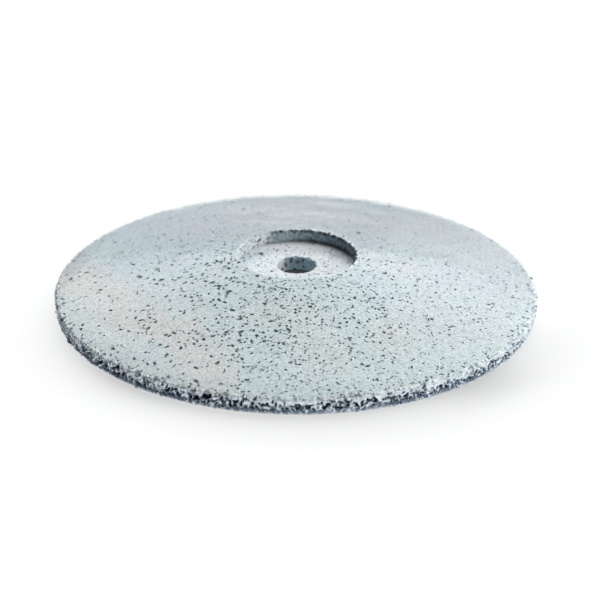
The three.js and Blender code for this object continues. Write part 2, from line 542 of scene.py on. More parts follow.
def rim_material():
    """Coarse open grit: pale strands, slate lumps and near-black hollows, told apart by the mesh. Hollows are
    painted darker the deeper they are, and the grit darker in its lower half and on the left: painted shade
    in the hollows and on the left.
    """
    n = Surface("coarse_grit")
    hollow = n.attribute("hollow")
    grain = n.noise(0.3, 3.0, 0.65)
    strand = n.layer(srgb(240, 249, 253), grain, 0.40, 0.75, 1.0, (200, 217, 230))
    slate = n.mix(n.attribute("grain"), srgb(92, 112, 136), srgb(150, 166, 184))
    tone = n.mix(n.spread(hollow, 0.14, 0.30), strand, slate)
    tone = n.layer(tone, hollow, 0.30, 0.70, 1.0, (18, 34, 56))
    tone = n.layer(tone, grain, 0.55, 0.80, 0.30, (52, 66, 86))
    seat = n.layer(srgb(238, 239, 244), grain, 0.35, 0.70, 1.0, (190, 195, 208))
    tone = n.mix(n.attribute("seat"), tone, seat)
    return n.finish(Base_Color=tone, Roughness=n.spread(grain, 0.3, 0.7, 0.35, 0.7),
                    Normal=n.bump(grain, 0.08, 0.8))


def chip_material():
    """Angular grains: each one pale, slate or dark."""
    n = Surface("grit_chips")
    cell = n.attribute("grain")
    grain = n.noise(0.25, 2.0, 0.6)
    tone = n.layer(srgb(58, 72, 92), cell, 0.10, 0.20, 1.0, (136, 152, 168))
    tone = n.layer(tone, cell, 0.40, 0.55, 1.0, (240, 246, 248))
    tone = n.layer(tone, grain, 0.50, 0.75, 0.3, (90, 104, 112))
    return n.finish(Base_Color=tone, Roughness=0.35, Normal=n.bump(grain, 0.04, 0.5))


def core_material():
    """Bonded medium grit, seen only in a cut."""
    n = Surface("bound_grit")
    grain = n.noise(0.7, 4.0, 0.7)
    tone = n.layer(srgb(96, 108, 112), grain, 0.35, 0.65, 1.0, (176, 186, 188))
    return n.finish(Base_Color=tone, Roughness=0.85, Normal=n.bump(grain, 0.2, 0.8))


Steel = namedtuple("Steel", "light dark roughness ring_mm ring_depth stain")
STEELS = {
    "plate_steel": Steel((212, 216, 220), (176, 181, 186), 0.38, 0.35, 0.02, 0.30),
    "zinc_plated_steel": Steel((206, 208, 204), (172, 175, 172), 0.30, 0.20, 0.03, 0.12),
    # The bush is dark and bluish, as the foot of the bore is in shade: painted shade.
    "turned_steel": Steel((62, 76, 94), (40, 50, 62), 0.35, 0.14, 0.04, 0.0),
}


def steel_material(name):
    """Steel with rings about the spin axis, fine scratches and a patchy stain."""
    steel = STEELS[name]
    n = Surface(name)
    radius = n.vector("LENGTH", n.vector("MULTIPLY", n.place, (1, 1, 0)))
    across = n.add("CombineXYZ", None, X=radius)
    rings = n.noise(steel.ring_mm, 3.0, 0.7, across.outputs[0])
    cloud = n.noise(14, 4.0, 0.6)
    scratch = n.noise(0.5, 3.0, 0.7)
    tone = n.layer(srgb(*steel.light), rings, 0.3, 0.7, 1.0, steel.dark)
    tone = n.layer(tone, cloud, 0.54, 0.72, steel.stain, (98, 92, 86))
    tone = n.layer(tone, scratch, 0.60, 0.75, 0.35, steel.dark)
    height = n.maths("ADD", rings, n.times(scratch, 0.3))
    return n.finish(Base_Color=tone, Metallic=0.85,
                    Roughness=n.spread(cloud, 0.35, 0.7, steel.roughness, steel.roughness + 0.2),
                    Normal=n.bump(height, steel.ring_depth, 0.7))


# ------------------------ what both coats share

DARK_DEPTH = 0.2    # A pit this deep is painted as dark as any: painted shade in the pits.


def plan_ring(radius, count, turn=0.0):
    """Plan points on a circle, turned about the axis."""
    cos, sin = math.cos(turn), math.sin(turn)
    return ring(radius, 0, count)[:, :2] @ np.array([[cos, sin], [-sin, cos]])


def closing_faces(first_row, rows, last_row, start):
    """Faces from one row of a skin's points, over new rows numbered from `start`, to its other row."""
    loops = [first_row]
    for row in rows:
        loops.append(range(start, start + len(row)))
        start += len(row)
    loops.append(last_row)
    faces = []
    for first, second in zip(loops, loops[1:]):
        faces += strip(first, second) if len(first) == len(second) else half_strip(first, second)
    return faces


def pit_values(pits, owner, hidden, hidden_tint):
    """Face values of a pitted sheet and its hidden faces: whether each is in a pit, and the pit's tint."""
    tints = np.array([p.tint for p in pits] + [0.0])
    return {"pit": np.append(owner >= 0, hidden),
            "tint": np.append(tints[owner], np.full(len(hidden), hidden_tint))}


# ------------------------ the fine coat on the face

THICK = waves(5, 14)            # Where the pits lie thicker.
CHIPPED_AND_SHADED_TURN = math.radians(25)     # The side of the recess wall that is the most chipped at its lip, and painted darkest as it is turned from the light: painted shade.
COAT_COLUMNS = 1440
EDGE_CHIPS = 110
LIP_PITS = 90
PITS_TRIED_PER_MM2 = 0.50
LONGEST_PIT = 1.9
CHAIN_SHARE = 0.10

# Rows of the profile, counted from the foot of the recess wall.
WALL_TOP, CONE_START, CONE_END = 1, 4, 5

# Where the points of the coat's sheet lie: radius and turn, shares of the outer edge, the lip and the
# recess wall, and how far the edge and the lip are chipped back beside them, in mm.
Sheet = namedtuple("Sheet", "plan radius turn edge lip wall notch chipped")


def coat_profile():
    """The coat's outer surface as columns: plan radius, radius, height, and its normal outward and up.

    It runs from the foot of the recess wall, over the lip and the cone, and down the outer edge. The
    plan radius is the radius itself on the cone, and distance along the surface beyond it."""
    rows = [(COAT.inner, FLOOR_COAT.top - FLOOR_COAT_THICKNESS + BOND_LINE, -1.0, 0.0)]
    square = math.pi / 2 - CONE_TILT
    lip = COAT.inner + LIP_ROUND
    edge = COAT.outer - EDGE_ROUND
    for centre, size, start, end, steps in ((lip, LIP_ROUND, math.pi, square, 4),
                                            (edge, EDGE_ROUND, square, 0.0, 5)):
        level = face_height(centre) - size / math.cos(CONE_TILT)
        for angle in np.linspace(start, end, steps):
            out, up = math.cos(angle), math.sin(angle)
            rows.append((centre + size * out, level + size * up, out, up))
    rows.append((COAT.outer, COAT.foot, 1.0, 0.0))
    rows = np.array(rows)
    along = np.concatenate([[0], np.cumsum(np.hypot(*np.diff(rows[:, :2], axis=0).T))])
    plan = rows[CONE_START, 0] + along - along[CONE_START]
    plan[CONE_END:] += rows[CONE_END, 0] - plan[CONE_END]
    return np.column_stack([plan, rows])


def coat_pits(mark):
    """Pits over the whole coat: chips along the outer edge, pits round the lip, and fine pits everywhere,
    some of them in crooked chains."""
    deepest = COAT_THICKNESS - 0.12
    field = PitField(11)
    rng = field.rng
    for _ in range(EDGE_CHIPS):
        turn = rng.uniform(0, math.tau)
        radius, length = mark[CONE_END] + rng.uniform(-1.8, -0.5), rng.uniform(0.6, 1.5)
        width = min(rng.uniform(0.35, 0.8), length * 0.8)
        field.add(*polar(radius, turn), length, width, rng.uniform(0, math.tau), 0.25)
    for _ in range(LIP_PITS):
        turn = math.radians(rng.uniform(-25, 150))
        radius, length = rng.uniform(mark[WALL_TOP] - 0.5, mark[CONE_START] + 0.25), rng.uniform(0.45, 1.1)
        width = length * rng.uniform(0.45, 0.7)
        field.add(*polar(radius, turn), length, width, rng.uniform(0, math.tau), 0.22)
    for _ in range(int(math.pi * (mark[-1] ** 2 - mark[0] ** 2) * PITS_TRIED_PER_MM2)):
        radius = math.sqrt(rng.uniform(mark[0] ** 2, mark[-1] ** 2))
        x, y = polar(radius, rng.uniform(0, math.tau))
        crowd = crowding(x, y)
        if rng.random() > crowd:
            continue
        usual = 0.42 + 0.20 * smoothstep(0, -26, x) * smoothstep(12, -6, y)
        size = min(LONGEST_PIT, usual * math.exp(abs(rng.gauss(0, 0.5))) + 0.30 * crowd)
        if rng.random() < CHAIN_SHARE:
            field.chain(x, y, rng.randint(2, 3), max(0.6, size))
        else:
            width, turn = size * rng.uniform(0.38, 0.72), rng.uniform(0, math.tau)
            field.add(x, y, size, width, turn, min(deepest, width * rng.uniform(0.45, 0.85)))
    inner, outer = mark[0] + 0.06, mark[-1] - 0.06
    return [p for p in field.pits if all(inner < math.hypot(*c) < outer for c in p.outline)]


def crowding(x, y):
    """How thick the pits lie at a place: 1 at the front middle, less towards the sides and the back."""
    near = math.exp(-(x / 30) ** 2 / 2 - ((y + 30) / 27) ** 2 / 2)
    cloud = THICK(np.array([[x, y, 0.0]]))[0]
    behind = 1 - 0.5 * smoothstep(-6, 34, y)
    behind *= 1 - 0.45 * smoothstep(-16, -40, x) * smoothstep(10, -5, y)
    left_behind = 0.10 * smoothstep(5, -25, x) * smoothstep(-5, 10, y)
    return (0.14 + 0.86 * near) * behind * min(1.0, max(0.4, 0.9 + 0.25 * cloud)) + left_behind


def coat_plan_rings(mark):
    """Plan points of the coat's mesh: fine rings on the rounds and the ragged edge, a loose grid between."""
    few, half = COAT_COLUMNS // 3, COAT_COLUMNS // 2
    radii = [(mark[0] + (mark[WALL_TOP] - mark[0]) * t, few) for t in np.arange(1, 11) / 11]
    radii += [(r, few) for r in (*mark[WALL_TOP:CONE_END], mark[CONE_START] + 0.4)]
    radius = mark[CONE_START] + 1.0
    while radius < mark[CONE_END] - 1.6:
        radii.append((radius, int(math.tau * radius / 1.7)))
        radius += 1.5
    radii += [(mark[CONE_END] - t, half) for t in (1.1, 0.75)]
    radii += [(mark[CONE_END] - t, COAT_COLUMNS) for t in (0.4, 0.15)]
    radii += [(r, COAT_COLUMNS) for r in mark[CONE_END:-1]]
    rings = [plan_ring(r, count, i * 0.37) for i, (r, count) in enumerate(radii)]
    return [plan_ring(mark[0], half), *rings, plan_ring(mark[-1], COAT_COLUMNS)]


def edge_notch(turn):
    """How far the coat is broken back at its outer edge, in mm: where the rim below it is hollow."""
    depth = grit_relief(turn, np.full(turn.shape, COAT.foot - 0.2))[0]
    spots = circle_points(RIM.outer, turn)
    deep = np.clip(0.34 * depth, 0, 0.7) * (0.6 + 0.4 * waves(26, 1.5)(spots).clip(-1, 1))
    ragged = 0.14 * (0.6 + waves(25, 0.8)(spots)) + 0.12 * (0.5 + waves(27, 2.6)(spots))
    return np.clip(deep + ragged, 0, 0.9)


def lip_notch(turn):
    """How far the lip of the recess is chipped back, in mm: most at the back and on the right."""
    spots = circle_points(COAT.inner, turn)
    ragged = (0.24 + 0.24 * waves(61, 1.0)(spots) + 0.10 * waves(62, 3.0)(spots)).clip(0, 0.6)
    return ragged * (0.35 + 0.65 * smoothstep(-0.6, 0.2, np.cos(turn - CHIPPED_AND_SHADED_TURN)))


def coat_sheet(mark, plan):
    radius = np.hypot(plan[:, 0], plan[:, 1])
    turn = np.arctan2(plan[:, 1], plan[:, 0]) % math.tau
    edge = smoothstep(mark[CONE_END] - 0.9, mark[CONE_END] + 0.25, radius)
    lip = smoothstep(mark[WALL_TOP] - 0.4, mark[WALL_TOP] + 0.1, radius)
    lip *= smoothstep(mark[CONE_START] + 0.95, mark[CONE_START] + 0.1, radius)
    wall = smoothstep(mark[WALL_TOP + 1], mark[WALL_TOP], radius)
    return Sheet(plan, radius, turn, edge, lip, wall, edge_notch(turn), lip_notch(turn))


def coat_shape(profile, sheet, pit_depth):
    """The sheet's points on the coat: first smooth, and then with its relief and its pits."""
    mark = profile[:, 0]
    radius, height, out, up = (np.interp(sheet.radius, mark, profile[:, k]) for k in range(1, 5))
    radius = radius - sheet.edge * sheet.notch + sheet.lip * sheet.chipped
    away = sheet.plan / sheet.radius[:, None]
    smooth = np.column_stack([away * radius[:, None], height])
    normal = np.column_stack([away * out[:, None], up])
    normal /= np.linalg.norm(normal, axis=1)[:, None]
    relief = 0.022 * waves(21, 4.0)(smooth) + 0.008 * waves(22, 1.1)(smooth)
    relief += sheet.edge * 0.04 * waves(23, 1.6)(smooth) + 0.035 * waves(30, 13.0)(smooth)
    swell = smoothstep(COAT.outer - 9, COAT.outer - 4.5, sheet.radius)
    droop = smoothstep(COAT.outer - 5, COAT.outer, sheet.radius)
    relief += 0.10 * swell - 0.24 * droop
    relief += sheet.wall * (0.07 * waves(28, 0.9)(smooth) + 0.05 * waves(29, 2.0)(smooth)).clip(-0.22, 0.12)
    held = smoothstep(mark[0], mark[0] + 0.25, sheet.radius)
    held *= smoothstep(mark[-1], mark[-1] - 0.15, sheet.radius)
    return smooth, smooth + normal * (relief * held - pit_depth)[:, None]


def coat_tones(mark, sheet, smooth, skin):
    """How pale, how dark with exposed grit and how shaded the points are: the outer edge is paler with wear
    and painted light, the recess wall has painted light on its lit side and painted shade under the lip, over
    its foot and on its side turned from the light, and the lip has a painted highlight.
    """
    wall, radius = sheet.wall, sheet.radius
    facing = np.cos(sheet.turn - CHIPPED_AND_SHADED_TURN)
    shaded = smoothstep(-0.22, 0.12, facing)
    broken = smoothstep(mark[CONE_END] - 0.1, mark[CONE_END] + 0.3, radius)
    broken *= smoothstep(0.25, 0.6, sheet.notch)
    # The outer edge is paler, partly wear and partly painted light on its rounding.
    pale_wear_and_light = sheet.edge * (0.75 + 0.25 * waves(24, 2.0)(smooth)) * (1 - broken)
    # Painted light on the wall's lit side, and a painted highlight along the lip where the wall is turned
    # from the light.
    pale_wear_and_light += wall * (1 - shaded) + 0.8 * sheet.lip * (1 - wall) * shaded
    # The wall's exposed grit tone grows on its side turned from the light: painted shade. The broken outer
    # edge shows exposed grit.
    raw_and_shade = wall * shaded * (0.4 + 0.6 * smoothstep(0.2, 0.95, facing)) + 0.1 * broken
    under_lip = smoothstep(mark[WALL_TOP] - 0.75, mark[WALL_TOP] - 0.3, radius) * wall
    under_lip *= smoothstep(0.05, 0.3, sheet.chipped)
    over_foot = smoothstep(mark[0] + 1.7, mark[0] + 0.7, radius) * smoothstep(0.1, 0.7, facing)
    over_foot *= smoothstep(0.1, 0.6, np.sin(sheet.turn))
    spotty = smoothstep(-0.3, 0.5, waves(63, 1.6)(skin))
    # Painted shade under the lip, over the wall's foot and on its side turned from the light, with dark spots
    # on the wall.
    shade = shaded * (0.95 * under_lip + 0.9 * over_foot * (0.6 + 0.4 * spotty))
    shade += 0.6 * wall * shaded * smoothstep(0.9, 1.5, waves(64, 1.5)(skin))
    shade += 0.7 * wall * (1 - shaded) * smoothstep(0.9, 1.3, waves(65, 1.1)(skin))
    shade += 0.25 * wall * smoothstep(0.7, 1.0, facing)
    return {"pale_wear_and_light": pale_wear_and_light, "raw_and_shade": raw_and_shade, "shade": shade.clip(0, 1)}


def face_coat(material):
    """The fine coat: a pitted skin over the cone, the lip and the recess wall, closed by a hidden back."""
    profile = coat_profile()
    mark = profile[:, 0]
    pits = coat_pits(mark)
    plan, depth, triangles, owner = pitted_sheet(coat_plan_rings(mark), pits)
    sheet = coat_sheet(mark, plan)
    smooth, skin = coat_shape(profile, sheet, depth)
    values = coat_tones(mark, sheet, smooth, skin)
    values["deep"] = np.minimum(depth / DARK_DEPTH, 1)

    inner_row = ring_ids(plan, sheet.radius < mark[0] + 1e-4)
    outer_row = ring_ids(plan, sheet.radius > mark[-1] - 1e-4)
    few, many = len(inner_row), len(outer_row)
    wall = COAT.inner + COAT_THICKNESS
    back = [ring(COAT.outer - 1.2, COAT.foot, many), ring(wall + 0.6, inner_roof(wall + 0.6), many),
            ring(wall, inner_roof(wall), few), ring(wall, profile[0, 2], few)]
    hidden = closing_faces(outer_row, back, inner_row, len(skin))
    points = np.concatenate([skin] + back)
    rest = np.zeros(len(points) - len(skin))
    return make_piece("face_coat_pitted", points, triangles + hidden, material, ["face_coat"],
                      face_values=pit_values(pits, owner, np.zeros(len(hidden)), 0.0),
                      point_values={key: np.append(value, rest) for key, value in values.items()})


# ------------------------ the coat on the recess floor and in the bore

FLOOR_PITS = 110
BORE_COLUMNS = 480
BORE_LEVELS = 34
HOLLOWS_ROUND_BORE = 22
MOUTH_ROUND = 0.18


def floor_pits(mouth):
    """A few pits in the floor of the recess, the first a big dark one at its left."""
    field = PitField(31)
    rng = field.rng
    field.add(-9.5, 7.0, 2.2, 1.5, math.pi / 2, 0.25)
    for _ in range(FLOOR_PITS):
        turn = rng.uniform(0, math.tau)
        radius = rng.uniform(mouth + 1.1, FLOOR_COAT.outer - 0.7)
        size = rng.uniform(0.35, 0.9) * (1.3 if math.cos(turn) < -0.3 else 1.0)
        width = size * rng.uniform(0.45, 0.75)
        field.add(*polar(radius, turn), size, width, rng.uniform(0, math.tau), rng.uniform(0.12, 0.28))
    field.pits[0] = field.pits[0]._replace(tint=0.0)
    return [p for p in field.pits if all(math.hypot(*c) > mouth + 0.9 for c in p.outline)]


def floor_coat(material):
    """Flat ring with a few pits, whose ragged inner edge turns down into the bore."""
    top, outer = FLOOR_COAT.top, FLOOR_COAT.outer
    mouth = FLOOR_COAT.inner + MOUTH_ROUND
    pits = floor_pits(mouth)
    plan, depth, triangles, owner = pitted_sheet(rings_between(mouth, outer, BORE_COLUMNS), pits)
    radius = np.hypot(plan[:, 0], plan[:, 1])
    chipped = mouth_notch(np.arctan2(plan[:, 1], plan[:, 0])) * smoothstep(mouth + 0.9, mouth, radius)
    skin = np.column_stack([plan * (1 + chipped / radius)[:, None], np.full(len(plan), top)])
    held = smoothstep(mouth, mouth + 0.5, radius) * smoothstep(outer, outer - 0.5, radius)
    skin[:, 2] += held * 0.02 * waves(33, 3.0)(skin) - depth

    rows, hollows = bore_rows()
    hub, sleeve = top - FLOOR_COAT_THICKNESS, FLOOR_COAT.inner + 0.3
    for r, level in ((sleeve, FLOOR_COAT.foot), (sleeve, hub), (outer, hub)):
        rows.append(ring(r, level, BORE_COLUMNS))
    points = np.concatenate([skin] + rows)
    inner_row, outer_row = ring_ids(plan, radius < mouth + 1e-4), ring_ids(plan, radius > outer - 1e-4)
    hidden = closing_faces(inner_row, rows, outer_row, len(skin))
    in_hollow = np.zeros(len(hidden))
    in_hollow[:len(hollows)] = hollows
    lining = np.ones(len(points) - len(skin))
    # The bore's left side, lit from the right, is painted pale and the rest of it dark: painted light and
    # shade.
    lit = smoothstep(0.15, 0.85, -points[:, 0] / np.hypot(points[:, 0], points[:, 1]))
    in_bore = np.append(smoothstep(0.1, 0.4, chipped), lining)
    # The back of the recess floor, in the wall's shade, is painted paler: painted light.
    behind = smoothstep(3, outer, points[:, 1]) * (1 - in_bore)
    return make_piece("recess_floor_coat_pitted", points, triangles + hidden, material,
                      ["recess_floor_coat"], face_values=pit_values(pits, owner, in_hollow, 0.4),
                      point_values={"deep": np.append(np.minimum(depth / DARK_DEPTH, 1), 0.6 * lining),
                                    "raw_and_shade": in_bore * (1 - lit), "pale_wear_and_light": in_bore * lit + behind})


def mouth_notch(turn):
    """How far the coat is chipped back round the mouth of the bore, in mm: most at the back."""
    ragged = (0.22 + 0.24 * waves(35, 1.1)(circle_points(5, turn))).clip(0.03, 0.7)
    return ragged * (0.3 + 0.7 * smoothstep(-0.2, 0.5, np.sin(turn)))


def rings_between(start, end, count):
    """Plan rings about 1 mm apart, with `count` points on the boundaries."""
    inside = [plan_ring(r, int(math.tau * r / 1.1)) for r in np.arange(start + 0.5, end - 0.4, 1.0)]
    return [plan_ring(start, count), *inside, plan_ring(end, count)]


def bore_rows():
    """Rows of points down the bore, from its ragged mouth, and for each face between them if it is hollow."""
    top, foot = FLOOR_COAT.top, FLOOR_COAT.foot
    turn = np.arange(BORE_COLUMNS) * math.tau / BORE_COLUMNS
    notch = mouth_notch(turn)
    size = math.tau * FLOOR_COAT.inner / HOLLOWS_ROUND_BORE
    places = [(MOUTH_ROUND * (1 - math.sin(a)), top - MOUTH_ROUND * (1 - math.cos(a)))
              for a in (math.radians(30), math.radians(60))]
    places += [(0.0, level) for level in np.linspace(top - MOUTH_ROUND, foot, BORE_LEVELS)]
    rows, depths = [], []
    for extra, level in places:
        nearest, _, name = cells(turn * FLOOR_COAT.inner, level + 0 * turn, size, 1.2,
                                 HOLLOWS_ROUND_BORE, 37)
        hollow = 0.2 * smoothstep(0.60, 0.30, nearest) * (name > 0.66)
        if level > top - 0.2 or level == foot:
            hollow = hollow * 0
        chipped = notch * smoothstep(top - 0.42, top - 0.1, level)
        rows.append(ring(FLOOR_COAT.inner + extra + np.maximum(hollow, chipped), level, BORE_COLUMNS))
        depths.append(hollow)
    return rows, np.concatenate([depths[0] * 0] + [d > 0.08 for d in depths[:-1]])


# ------------------------ the coarse rim

RIM_COLUMNS = 2400
RIM_LEVELS = 30
HOLLOW_ACROSS, HOLLOW_UP, FINE_GRAIN = 1.65, 1.60, 0.6
GRAINS = 740
FOOT_GRAINS = 26
RIGHT_GRAINS = 74


def grit_relief(turn, height):
    """Depth of the coarse grit below its outer skin at a turn and a height, and a number for its grain.

    Cells of a warped band are hollows between strands. A few are shallow, and a few are lumps."""
    spot = circle_points(RIM.outer, turn, height)

    def uneven(seed, wavelength):
        return waves(seed, wavelength)(spot).reshape(turn.shape)

    girth = math.tau * RIM.outer
    around, fine_around = int(girth / HOLLOW_ACROSS), int(girth / FINE_GRAIN)
    across = turn * RIM.outer
    nearest, second, name = cells(across + 0.34 * uneven(42, 2.0) + 0.45 * uneven(48, 9.0) * height,
                                  (height + 0.30 * uneven(43, 2.0)) * 0.85,
                                  girth / around, HOLLOW_UP, around, 44)
    wall = second - nearest
    strand = 0.10 + 0.10 * (1 + uneven(47, 1.8)).clip(0, 2)
    depth = np.where(name < 0.86, 1.05 + 1.0 * name, 0.65) * smoothstep(strand, strand + 0.30, wall)
    lump = 0.34 * smoothstep(0.1, 0.3, wall) - 0.40 * smoothstep(0.3, 1.0, wall)
    depth = np.where(name > 0.93, lump, depth)
    near, far, grain = cells(across, height, girth / fine_around, FINE_GRAIN, fine_around, 45)
    depth = depth + 0.12 * smoothstep(0.05, 0.3, far - near) * (grain - 0.3)
    return depth - 0.08 * uneven(46, 1.1), name


def coarse_rim(material):
    """Ring of coarse open grit: strands round deep hollows, with lumps in some of them.

    Under the coat a ragged crust fills the hollows, thinnest on the left. The grit ends above the plate."""
    around = np.arange(RIM_COLUMNS) / RIM_COLUMNS * math.tau
    low = (0.34 + 0.16 * waves(41, 2.2)(circle_points(RIM.outer, around))).clip(0.12, 0.8)
    turn, up = np.meshgrid(around, np.linspace(0, 1, RIM_LEVELS))
    height = low + (COAT.foot + 0.1 - low) * up
    base = (RIM.outer - 0.50) + 0.45 * up
    depth, name = grit_relief(turn, height)
    skin = circle_points(RIM.outer, turn, height)
    wander = (0.55 * waves(49, 1.5)(skin) + 0.25 * waves(50, 6.0)(skin)).reshape(turn.shape)
    bias = np.where(np.cos(turn) > 0, 0.45, 0.85) * np.cos(turn)
    crust = smoothstep(COAT.foot - 0.95, COAT.foot - 0.45, height + wander + bias)
    radius = np.clip(base - depth * (1 - 0.72 * crust), RIM.inner + 0.3, RIM.outer)
    radius[-1] = np.clip(radius[-1], RIM.inner + 0.2, COAT.outer - 0.12 - edge_notch(around))
    radius = np.where(height < RIM.foot + 0.15, np.maximum(radius, PLATE.outer + 0.04), radius)
    skirt = [ring(RIM.inner, COAT.foot - 0.02, RIM_COLUMNS), ring(RIM.inner, RIM.foot, RIM_COLUMNS),
             ring(PLATE.outer + 0.03, RIM.foot, RIM_COLUMNS), ring(PLATE.outer + 0.03, low, RIM_COLUMNS)]
    above_foot = smoothstep(0.3, 0.9, height)
    # Darker in the lower half, and on the left, which is turned from the light: painted shade on the left.
    darker_low_and_left = 0.13 * smoothstep(3.0, 1.4, height) * above_foot
    darker_low_and_left += 0.10 * smoothstep(0.3, -0.6, np.cos(turn)) * above_foot
    # Hollows are painted darker the deeper they are: painted shade.
    hollow = np.clip((base - radius) / 1.3 + darker_low_and_left, 0, 1) * (1 - 0.6 * crust)
    hidden = np.zeros(len(skirt) * RIM_COLUMNS)
    points = np.concatenate([circle_points(radius, turn, height)] + skirt)
    faces = tube_faces(RIM_LEVELS + len(skirt), RIM_COLUMNS)
    return make_piece("coarse_grit_rim_open", points, faces, material, ["coarse_grit_rim"],
                      sharp_over=180,
                      point_values={"hollow": np.append(hollow, hidden), "grain": np.append(name, hidden),
                                    "seat": np.append(0 * name, hidden + 1)})


def rim_chips(material):
    """Angular grains held in the rim: big ones at its foot, some high up on the right, the rest all round."""
    rng = random.Random(51)
    working = bmesh.new()
    values = []
    for i in range(GRAINS):
        turn, size = rng.uniform(0, math.tau), rng.uniform(0.22, 0.55)
        height = rng.uniform(0.55, COAT.foot - 0.1)
        radius = RIM.outer - 0.25 - size * 1.1 - 0.3 * (COAT.foot - height) / COAT.foot
        paler = 0.45 + 0.55 * smoothstep(1.2, 2.6, height)
        if i < FOOT_GRAINS:
            size = rng.uniform(0.5, 0.75)
            height, radius, paler = size * rng.uniform(1.0, 1.4), RIM.outer - size * 0.75, 1.0
        elif i < FOOT_GRAINS + RIGHT_GRAINS:
            turn = math.radians(rng.gauss(-12, 18))
            height, radius, paler = rng.uniform(2.6, 4.1), RIM.outer - size * 0.8, 1.0
        centre = Vector((*polar(radius, turn), height))
        stretch = Vector((rng.uniform(0.6, 1.2), rng.uniform(0.6, 1.0), rng.uniform(0.6, 1.3)))
        tilt = Euler([rng.uniform(0, math.tau) for _ in range(3)]).to_matrix()
        corners = []
        for _ in range(9):
            way = Vector([rng.gauss(0, 1) for _ in range(3)]).normalized()
            corners.append(working.verts.new(centre + tilt @ (way * stretch * size)))
        bmesh.ops.convex_hull(working, input=corners)
        loose = [v for v in corners if not v.link_faces]
        bmesh.ops.delete(working, geom=loose, context="VERTS")
        values += [rng.random() * paler] * (len(corners) - len(loose))
    working.verts.index_update()
    points = [v.co[:] for v in working.verts]
    faces = [[v.index for v in f.verts] for f in working.faces]
    working.free()
    return make_piece("coarse_grit_chips", points, faces, material,
                      point_values={"grain": values}, sharp_over=20)


# ------------------------ steel parts of the back

STEEL_TURN_STEPS = 360


def steel_parts():
    """The dished plate, the washer and the bush, turned finely with eased corners."""
    for node, slot, ease in (("backing_plate", "plate_steel", 0.25), ("hub_washer", "zinc_plated_steel", 0.3),
                             ("arbor_bush", "turned_steel", 0.2)):
        outline = eased(node_outline(node), ease)
        points = np.concatenate([ring(r, z, STEEL_TURN_STEPS) for r, z in outline])
        make_piece(node + "_turned", points, tube_faces(len(outline), STEEL_TURN_STEPS), steel_material(slot),
                   [node], sharp_over=25)


def node_outline(node):
    """A turned CAD node's outline as (radius, height) corners in mm, in order, read from its own mesh."""
    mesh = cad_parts[node].data
    corners = {}
    links = defaultdict(set)
    for v in mesh.vertices:
        corners[v.index] = (round(math.hypot(v.co.x, v.co.y) / MM, 3), round(v.co.z / MM, 3))
    for edge in mesh.edges:
        a, b = (mesh.vertices[i].co for i in edge.vertices)
        same_turn = abs(a.x * b.y - a.y * b.x) < 1e-9
        first, second = (corners[i] for i in edge.vertices)
        if same_turn and first != second:
            links[first].add(second)
            links[second].add(first)
    start = min(links)
    outline, before = [start], None
    while True:
        here = outline[-1]
        after = [c for c in sorted(links[here]) if c != before and c not in outline[1:]]
        if not after or after[0] == start and len(outline) > 2:
            return outline
        before = here
        outline.append(after[0])


# ------------------------ stage, light and camera

CAMERA_ELEVATION = math.radians(25.5)
CAMERA_DISTANCE = 0.500
CAMERA_ROLL = math.radians(0.4)
LENS_MM = 115.4
AIM_RIGHT = 1.0 * MM
AIM_DOWN = 3.9 * MM
SHARP_POINT = (0, -0.030, 0.010)
F_STOP = 22

TABLE_HALF = 3.0
TABLE_GAP = 0.02 * MM
TABLE_GLOW_SEEN, TABLE_GLOW_UNSEEN = 0.80, 0.76

# Bright panels of the studio, in degrees. Azimuth 0 is the camera's side of the disc, 90 its right.
Panel = namedtuple("Panel", "azimuth half_width foot top blur glow")
PANELS = (
    Panel(156, 58, 19, 86, 3, 2.65),
    Panel(75, 46, 0, 20, 4, 2.05),
    Panel(207, 23, 0, 22, 5, 0.5),
    Panel(142, 27, 0, 22, 5, 0.6),
    Panel(16, 32, 0, 13, 4, 1.65),
)
DIM_ROOM = 0.06


